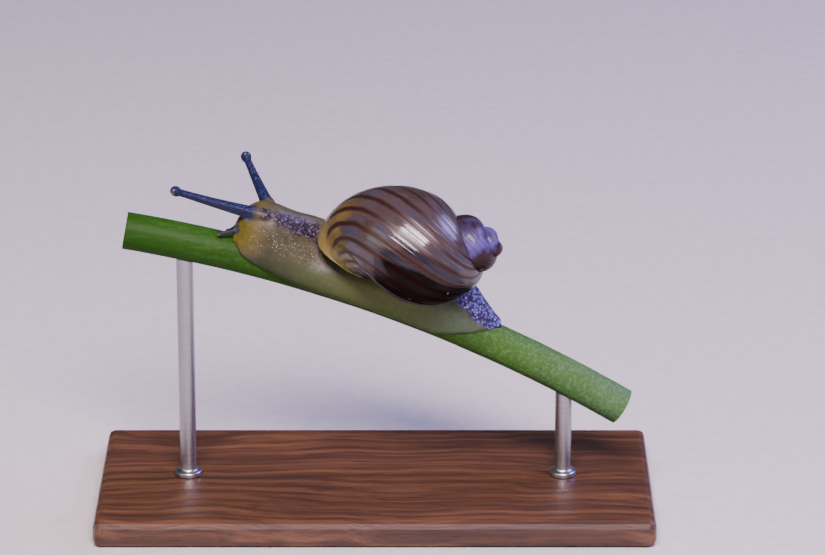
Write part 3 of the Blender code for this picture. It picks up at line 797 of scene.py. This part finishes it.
def snail_skin():
    """Wet mollusc skin: light sinks into it, slime gives a soft gloss, pigment sits in small granules."""
    made, tree, place = material("wet_snail_skin", IOR=1.37, Subsurface_Weight=0.3, Subsurface_Scale=0.0005,
                                 Subsurface_Radius=(0.85, 0.85, 0.35), Coat_Weight=0.06, Coat_Roughness=0.25)
    zones = add(tree, SHARES, attribute_name="zones")
    band, tail, tentacle = add(tree, PARTS, {0: zones}).node.outputs
    over = zones.node.outputs["Alpha"]
    zones_low = add(tree, SHARES, attribute_name="zones_low")
    warm, foot, granules = add(tree, PARTS, {0: zones_low}).node.outputs
    length = zones_low.node.outputs["Alpha"]
    cells = add(tree, CELLS, {"Vector": place, "Scale": 5000.0})        # pigment cells 0.2 mm apart
    grains = add(tree, CELLS, {"Vector": place, "Scale": 6500.0})       # grains of the skin, 0.15 mm
    cloud = add(tree, NOISE, {"Vector": place, "Scale": 700.0, "Detail": 5.0})      # blotches of 1.4 mm
    mottle = add(tree, NOISE, {"Vector": place, "Scale": 3600.0, "Detail": 3.0})    # and of 0.3 mm

    uneven = add(tree, MATHS, {0: mottle, 1: 1.0, 2: -0.5}, **SCALED)
    spotted = add(tree, MATHS, {0: cells, 1: uneven}, operation="ADD")

    # olive flank, greener sole, yellow mouth; then the dark net behind the head and the lilac tail
    flank = add(tree, BAND, {0: cloud}, stops=[(0.3, "37381f"), (0.5, "43432c"), (0.7, "505038")])
    # the sole darkens towards the front: painted shade under the head
    sole = add(tree, BAND, {0: length}, stops=[(0.1, "242f14"), (0.4, "434f26"), (0.6, "586a36"),
                                               (0.85, "54684e")])
    tint = add(tree, MIX, {0: foot, 6: flank, 7: sole}, **TINTS)
    warmth = add(tree, MATHS, {0: warm, 1: 0.8}, **TIMES)
    tint = add(tree, MIX, {0: warmth, 6: tint, 7: "5e560c"}, **TINTS)
    # the net's pale granule centres: partly paler skin, partly painted highlights
    net = add(tree, BAND, {0: spotted}, stops=[(0.05, "74687e"), (0.3, "403440"), (0.52, "160e14")])
    tint = add(tree, MIX, {0: band, 6: tint, 7: net}, **TINTS)
    # the tail's palest granule tops: partly lilac skin, partly painted sparkle
    lilac = add(tree, BAND, {0: spotted}, stops=[(0.04, "a4a2e2"), (0.36, "605ca4"), (0.66, "26233e")])
    tint = add(tree, MIX, {0: tail, 6: tint, 7: lilac}, **TINTS)
    # tentacles: dark blue above, pale grey below, with a painted lilac gleam on the grains of the upper side
    stalk = add(tree, BAND, {0: over}, stops=[(0.04, "5a606a"), (0.2, "2c3344"), (0.42, "151d36"),
                                              (0.75, "11193a")])
    gleam = add(tree, BAND, {0: grains}, stops=[(0.05, 0.4), (0.38, 0.0)])
    gleam = add(tree, MATHS, {0: gleam, 1: over}, **TIMES)
    stalk = add(tree, MIX, {0: gleam, 6: stalk, 7: "7880b8"}, **TINTS)
    tint = add(tree, MIX, {0: tentacle, 6: tint, 7: stalk}, **TINTS)
    # pale granules on the flank, their tips partly painted glints
    speck = add(tree, BAND, {0: grains}, stops=[(0.1, 1.0), (0.24, 0.0)])
    some = add(tree, BAND, {0: mottle}, stops=[(0.34, 0.0), (0.5, 1.0)])
    dots = add(tree, MATHS, {0: speck, 1: granules}, **TIMES)
    dots = add(tree, MATHS, {0: dots, 1: some}, **TIMES)
    tint = add(tree, MIX, {0: dots, 6: tint, 7: "b2aa94"}, **TINTS)
    light = add(tree, BAND, {0: mottle}, stops=[(0.3, 0.62), (0.7, 0.84)])
    tint = add(tree, MIX, {0: 1.0, 6: tint, 7: light}, **SHADED)

    # the tentacles are drier than the rest
    gloss = add(tree, BAND, {0: mottle}, stops=[(0.3, 0.46), (0.7, 0.62)])
    gloss = add(tree, MATHS, {0: tentacle, 1: 0.14, 2: gloss}, **SCALED)
    sheen = add(tree, MATHS, {0: tentacle, 1: -0.25, 2: 0.4}, **SCALED)
    folds = add(tree, BUMP, {"Height": cloud, "Strength": 0.3, "Distance": 0.0001})
    relief = add(tree, BUMP, {"Height": grains, "Strength": 0.2, "Distance": 0.00003, "Normal": folds},
                 invert=True)
    return dressed(made, Base_Color=tint, Roughness=gloss, Specular_IOR_Level=sheen, Normal=relief)


def shell_horn():
    """Thin glossy snail shell: horny skin over aragonite, with brown stripes along the growth lines."""
    made, tree, place = material("thin_horn_shell", IOR=1.53, Coat_Roughness=0.08, Subsurface_Weight=0.1,
                                 Subsurface_Scale=0.0003)
    spiral = add(tree, "ShaderNodeUVMap", uv_map="spiral")
    line = add(tree, XYZ, {0: spiral})
    zones = add(tree, SHARES, attribute_name="shell_zones")
    yellow, dark, older = add(tree, PARTS, {0: zones}).node.outputs
    hem = zones.node.outputs["Alpha"]
    drift = add(tree, NOISE, {"Vector": place, "Scale": 350.0, "Detail": 2.0})      # wanders over 3 mm
    fray = add(tree, NOISE, {"Vector": place, "Scale": 2600.0, "Detail": 3.0})      # frays over 0.4 mm
    patches = add(tree, NOISE, {"Vector": place, "Scale": 520.0, "Detail": 3.0})    # clouds of 2 mm
    # growth lines 0.13 mm apart: 250 to a turn of 33 mm, long along the line
    stretched = add(tree, VECTORS, {0: spiral, 1: (250.0, 7.0, 1.0)}, **TIMES)
    striae = add(tree, NOISE, {"Vector": stretched, "Scale": 1.0, "Detail": 2.0})
    bands = add(tree, VECTORS, {0: spiral, 1: (60.0, 3.0, 1.0)}, **TIMES)
    steps = add(tree, NOISE, {"Vector": bands, "Scale": 1.0, "Detail": 1.0})

    # stripes 25.8 degrees of turn apart
    phase = add(tree, MATHS, {0: line, 1: 13.95, 2: 0.477}, **SCALED)
    phase = add(tree, MATHS, {0: drift, 1: 0.4, 2: phase}, **SCALED)
    phase = add(tree, MATHS, {0: phase, 1: 0.2}, operation="SUBTRACT")
    beside = add(tree, MATHS, {0: phase, 1: 0.5}, operation="PINGPONG")
    beside = add(tree, MATHS, {0: fray, 1: 0.1, 2: beside}, **SCALED)
    stripe = add(tree, BAND, {0: beside}, stops=[(0.18, 1.0), (0.3, 0.0)])
    faded = add(tree, MATHS, {0: older, 1: -0.7, 2: 1.0}, **SCALED)
    bare = add(tree, MATHS, {0: faded, 1: hem}, operation="SUBTRACT")
    stripe = add(tree, MATHS, {0: stripe, 1: bare}, **TIMES)

    # horn ground, golden towards the lip and clear at its hem; on the belly a painted slate reflection, then
    # near-black: partly the dark body seen through the shell, partly painted shade
    ground = add(tree, BAND, {0: patches}, stops=[(0.32, "322c2a"), (0.5, "403634"), (0.68, "363945")])
    patchy = add(tree, BAND, {0: patches}, stops=[(0.36, 1.0), (0.66, 0.6)])
    golden = add(tree, MATHS, {0: yellow, 1: patchy}, **TIMES)
    ground = add(tree, MIX, {0: golden, 6: ground, 7: "6c5c28"}, **TINTS)
    clear = add(tree, MATHS, {0: hem, 1: 0.75}, **TIMES)
    ground = add(tree, MIX, {0: clear, 6: ground, 7: "82763e"}, **TINTS)
    slate = add(tree, BAND, {0: dark}, stops=[(0.05, 0.0), (0.4, 0.85)])
    ground = add(tree, MIX, {0: slate, 6: ground, 7: "1d1e27"}, **TINTS)
    deep = add(tree, BAND, {0: dark}, stops=[(0.58, 0.0), (0.82, 1.0)])
    belly = add(tree, BAND, {0: patches}, stops=[(0.35, "0c0707"), (0.65, "1a1214")])
    ground = add(tree, MIX, {0: deep, 6: ground, 7: belly}, **TINTS)
    # older whorls, by height: darkest at the bottom, plum above, and a painted lilac reflection across the
    # middle
    place_z = add(tree, XYZ, {0: place}, out=2)
    high = add(tree, MATHS, {0: place_z, 1: 150.0, 2: -3.3}, **SCALED)     # 0 at 22 mm
    lit = add(tree, MATHS, {0: patches, 1: 0.7, 2: high}, **SCALED)
    spire = add(tree, BAND, {0: lit}, stops=[(0.08, "1a0a06"), (0.2, "2e1c20"), (0.29, "544e90"),
                                             (0.36, "40385e"), (0.46, "241a1e")])
    ground = add(tree, MIX, {0: older, 6: ground, 7: spire}, **TINTS)
    # stripes with a redder edge, the growth lines, and painted glints on a few small raised beads
    brown = add(tree, BAND, {0: beside}, stops=[(0.1, "180804"), (0.2, "36170a"), (0.3, "4c2610")])
    brown = add(tree, MIX, {0: deep, 6: brown, 7: "140504"}, **TINTS)
    brown = add(tree, MIX, {0: older, 6: brown, 7: "24130f"}, **TINTS)
    tint = add(tree, MIX, {0: stripe, 6: ground, 7: brown}, **TINTS)
    fine = add(tree, BAND, {0: striae}, stops=[(0.3, 0.74), (0.7, 0.88)])
    tint = add(tree, MIX, {0: 1.0, 6: tint, 7: fine}, **SHADED)
    spots = add(tree, CELLS, {"Vector": place, "Scale": 640.0})         # painted glints about 1.5 mm apart, on small raised beads
    # painted glints: pale spots on the beads that stand in for the light they catch
    glint_spot = add(tree, BAND, {0: spots}, stops=[(0.03, 1.0), (0.06, 0.0)])
    painted_glint_share = add(tree, MATHS, {0: glint_spot, 1: 0.6}, **TIMES)
    tint = add(tree, MIX, {0: painted_glint_share, 6: tint, 7: "b4a8b0"}, **TINTS)

    # the belly and the spire are worn and have lost their gloss
    sheen = add(tree, BAND, {0: dark}, stops=[(0.2, 0.5), (0.55, 0.22), (0.85, 0.03)])
    sheen = add(tree, MATHS, {0: sheen, 1: faded}, **TIMES)
    glaze = add(tree, BAND, {0: dark}, stops=[(0.2, 0.12), (0.7, 0.0)])
    worn = add(tree, MATHS, {0: older, 1: 0.15, 2: 0.1}, **SCALED)
    matt = add(tree, MATHS, {0: stripe, 1: 0.3, 2: worn}, **SCALED)
    gloss = add(tree, MATHS, {0: striae, 1: 0.12, 2: matt}, **SCALED)
    swell = add(tree, BUMP, {"Height": steps, "Strength": 0.5, "Distance": 0.00012})
    ribs = add(tree, BUMP, {"Height": striae, "Strength": 0.35, "Distance": 0.00003, "Normal": swell})
    beads = add(tree, BUMP, {"Height": glint_spot, "Strength": 0.8, "Distance": 0.00004, "Normal": ribs})
    return dressed(made, Base_Color=tint, Roughness=gloss, Specular_IOR_Level=sheen, Coat_Weight=glaze,
                   Normal=beads)


def yellow_lip():
    """The new edge of the shell: soft yellow horn, nearly clear."""
    made, tree, place = material("yellow_lip", IOR=1.5, Subsurface_Weight=0.3, Subsurface_Scale=0.0003,
                                 Coat_Weight=0.3)
    mottle = add(tree, NOISE, {"Vector": place, "Scale": 1800.0, "Detail": 3.0})
    return plain_finish(made, tree, mottle, [(0.3, "a88a34"), (0.7, "c8ae62")], [(0.3, 0.22), (0.7, 0.36)],
                        0.2, 0.00003)


def slate_eye():
    """A slate-dark eye under a thin clear skin."""
    made, tree, place = material("slate_eye", IOR=1.4, Coat_Weight=0.25, Coat_Roughness=0.15)
    mottle = add(tree, NOISE, {"Vector": place, "Scale": 9000.0, "Detail": 2.0})
    return plain_finish(made, tree, mottle, [(0.35, "10162c"), (0.65, "26325a")], [(0.3, 0.3), (0.7, 0.4)],
                        0.1, 0.00001)


def green_stem():
    """A fresh shoot: waxy skin over wet green tissue, with pale fibres just under it."""
    made, tree, place = material("waxy_green_shoot", IOR=1.42, Specular_IOR_Level=0.12,
                                 Subsurface_Weight=0.2, Subsurface_Scale=0.0004, Coat_Weight=0.02,
                                 Coat_Roughness=0.4)
    away = add(tree, XYZ, {0: place})
    length = add(tree, MATHS, {0: away, 1: 28.0, 2: 0.5}, **SCALED)        # 0 to 1 from end to end
    drift = add(tree, NOISE, {"Vector": place, "Scale": 260.0, "Detail": 3.0})
    # fibres 0.2 mm apart and about 3 mm long
    long = add(tree, VECTORS, {0: place, 1: (320.0, 5000.0, 5000.0)}, **TIMES)
    fibres = add(tree, NOISE, {"Vector": long, "Scale": 1.0, "Detail": 3.0})
    dust = add(tree, NOISE, {"Vector": place, "Scale": 4200.0, "Detail": 4.0})
    # deeper green at the left end, paler and bluer towards the right end as a painted sheen
    green = add(tree, BAND, {0: length}, stops=[(0.0, "204c04"), (0.4, "284f08"), (0.75, "3a621e"),
                                                (1.0, "44683c")])
    shade = add(tree, BAND, {0: drift}, stops=[(0.35, 0.6), (0.65, 0.78)])
    green = add(tree, MIX, {0: 1.0, 6: green, 7: shade}, **SHADED)
    pale = add(tree, BAND, {0: fibres}, stops=[(0.5, 0.0), (0.8, 0.12)])
    green = add(tree, MIX, {0: pale, 6: green, 7: "5d8050"}, **TINTS)
    # pale specks, more of them towards the right end: partly wax bloom, partly painted glints
    bloom_and_glints = add(tree, BAND, {0: dust}, stops=[(0.46, 0.0), (0.9, 0.3)])
    wax_and_glint_share = add(tree, MATHS, {0: bloom_and_glints, 1: length}, **TIMES)
    green = add(tree, MIX, {0: wax_and_glint_share, 6: green, 7: "86a48c"}, **TINTS)
    gloss = add(tree, BAND, {0: fibres}, stops=[(0.3, 0.5), (0.7, 0.66)])
    relief = add(tree, BUMP, {"Height": fibres, "Strength": 0.12, "Distance": 0.00003})
    return dressed(made, Base_Color=green, Roughness=gloss, Normal=relief)


def pith():
    """The cut end of the shoot: pale spongy pith with darker bundles of vessels."""
    made, tree, place = material("cut_pith", IOR=1.4, Subsurface_Weight=0.2, Subsurface_Scale=0.0004)
    bundles = add(tree, CELLS, {"Vector": place, "Scale": 2600.0})      # bundles 0.4 mm apart
    sponge = add(tree, CELLS, {"Vector": place, "Scale": 9000.0})
    tint = add(tree, BAND, {0: bundles}, stops=[(0.1, "4f6a30"), (0.3, "93a878"), (0.6, "a4b58c")])
    gloss = add(tree, BAND, {0: sponge}, stops=[(0.1, 0.8), (0.5, 0.6)])
    relief = add(tree, BUMP, {"Height": sponge, "Strength": 0.5, "Distance": 0.00004})
    return dressed(made, Base_Color=tint, Roughness=gloss, Normal=relief)


def oiled_walnut():
    """Planed and oiled walnut: long dark grain, open pores, a low sheen."""
    made, tree, place = material("oiled_walnut", IOR=1.48, Coat_Weight=0.1, Coat_Roughness=0.3)
    # grain bands about 0.7 mm apart and pores 0.15 mm wide, both long along X
    bent = add(tree, NOISE, {"Vector": place, "Scale": 60.0, "Detail": 2.0})
    lean = add(tree, VECTORS, {0: bent, 1: (0.0, 0.006, 0.003)}, **TIMES)
    moved = add(tree, VECTORS, {0: place, 1: lean}, operation="ADD")
    long = add(tree, VECTORS, {0: moved, 1: (40.0, 1500.0, 1500.0)}, **TIMES)
    grain = add(tree, NOISE, {"Vector": long, "Scale": 1.0, "Detail": 5.0})
    finer = add(tree, VECTORS, {0: moved, 1: (350.0, 6500.0, 6500.0)}, **TIMES)
    pores = add(tree, NOISE, {"Vector": finer, "Scale": 1.0, "Detail": 2.0})
    wood = add(tree, BAND, {0: grain}, stops=[(0.3, "2e1b10"), (0.48, "402919"), (0.56, "4c3220"),
                                              (0.72, "5c4028")])
    pits = add(tree, BAND, {0: pores}, stops=[(0.3, 0.55), (0.48, 1.0)])
    wood = add(tree, MIX, {0: 1.0, 6: wood, 7: pits}, **SHADED)
    gloss = add(tree, BAND, {0: grain}, stops=[(0.3, 0.5), (0.7, 0.38)])
    relief = add(tree, BUMP, {"Height": pores, "Strength": 0.3, "Distance": 0.00005})
    return dressed(made, Base_Color=wood, Roughness=gloss, Normal=relief)


def brushed_steel():
    """Drawn stainless rod, brushed round: fine bright rings across its length."""
    made, tree, place = material("brushed_steel", Metallic=1.0)
    rings = add(tree, VECTORS, {0: place, 1: (300.0, 300.0, 26000.0)}, **TIMES)
    brush = add(tree, NOISE, {"Vector": rings, "Scale": 1.0, "Detail": 3.0})
    return plain_finish(made, tree, brush, [(0.3, "98989a"), (0.7, "b0b0b2")], [(0.3, 0.26), (0.7, 0.4)],
                        0.1, 0.00002)


def pale_board():
    """A matt painted board under everything."""
    made, tree, place = material("pale_board")
    tooth = add(tree, NOISE, {"Vector": place, "Scale": 900.0, "Detail": 3.0})
    return plain_finish(made, tree, tooth, [(0.3, "b4b4b2"), (0.7, "bcbcb9")], [(0.3, 0.88), (0.7, 0.8)],
                        0.1, 0.00005)


# ---- put together ----

skin = snail_skin()
horn = shell_horn()
eye = slate_eye()
walnut = oiled_walnut()
steel = brushed_steel()

flesh = make_flesh(skin)
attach(flesh, "root")
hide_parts(*(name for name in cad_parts
                     if name.startswith(("head", "neck", "trunk_", "foot_", "tail", "tentacle_"))))

shell = make_shell(horn, yellow_lip())
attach(shell, "root")
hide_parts("shell_body_whorl", "shell_penultimate_whorl", "shell_apex", "shell_inner_lip")

for side in ("left", "right"):
    eyeball = make_eye(side, TENTACLES[f"upper_{side}"], eye)
    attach(eyeball, "root")
    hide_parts(f"eye_{side}")

stem = make_stem(green_stem(), pith())
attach(stem, "root")
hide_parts("perch_stem")

for side in ROD_PLACES:
    pin = make_pin(side, steel)
    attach(pin, "root")
    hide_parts(f"stand_rod_{side}")

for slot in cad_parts["stand_base"].material_slots:
    slot.material = walnut

# ---- floor, light and camera ----

AIM = Vector((0.00268, 0, 0.01722))             # what the lights and the camera look at, in metres

bpy.ops.mesh.primitive_plane_add(size=3.0)
floor = bpy.context.object
floor.name = "floor"
floor.data.materials.append(pale_board())


def softbox(name, way, distance, size, power, tint, roll=0.0):
    """A rectangular light that looks at the part from a direction; roll turns its long side."""
    way = Vector(way).normalized()
    data = bpy.data.lights.new(name, "AREA")
    data.shape = "RECTANGLE"
    data.size, data.size_y = size
    data.energy = power
    data.color = colour(tint)[:3]
    lamp = bpy.data.objects.new(name, data)
    bpy.context.scene.collection.objects.link(lamp)
    lamp.location = AIM + way * distance
    turn = way.to_track_quat("Z", "Y").to_matrix() @ Matrix.Rotation(roll, 3, "Z")
    lamp.rotation_euler = turn.to_euler()


softbox("key", (0.02, -0.68, 0.73), 0.3, (0.2, 0.085), 3.1, "ffe2ee", math.radians(-38))
softbox("sky", (0.75, 0.2, 0.62), 0.36, (0.2, 0.14), 1.8, "b0a6ff")
softbox("left", (-0.75, -0.5, 0.45), 0.35, (0.16, 0.16), 0.2, "e8f4e8")

world = bpy.data.worlds.new("studio")
world.use_nodes = True
background = world.node_tree.nodes["Background"]
background.inputs["Color"].default_value = colour("dfe4ea")
background.inputs["Strength"].default_value = 0.12
bpy.context.scene.world = world

CAMERA_RISE = math.radians(20)
CAMERA_DISTANCE = 0.3
away = Vector((0, -math.cos(CAMERA_RISE), math.sin(CAMERA_RISE)))
camera_data = bpy.data.cameras.new("camera")
camera_data.lens = 183
camera_data.sensor_width = 36
camera_data.clip_start = 0.01
camera = bpy.data.objects.new("camera", camera_data)
bpy.context.scene.collection.objects.link(camera)
camera.location = AIM + CAMERA_DISTANCE * away
camera.rotation_euler = (-away).to_track_quat("-Z", "Y").to_euler()
bpy.context.scene.camera = camera
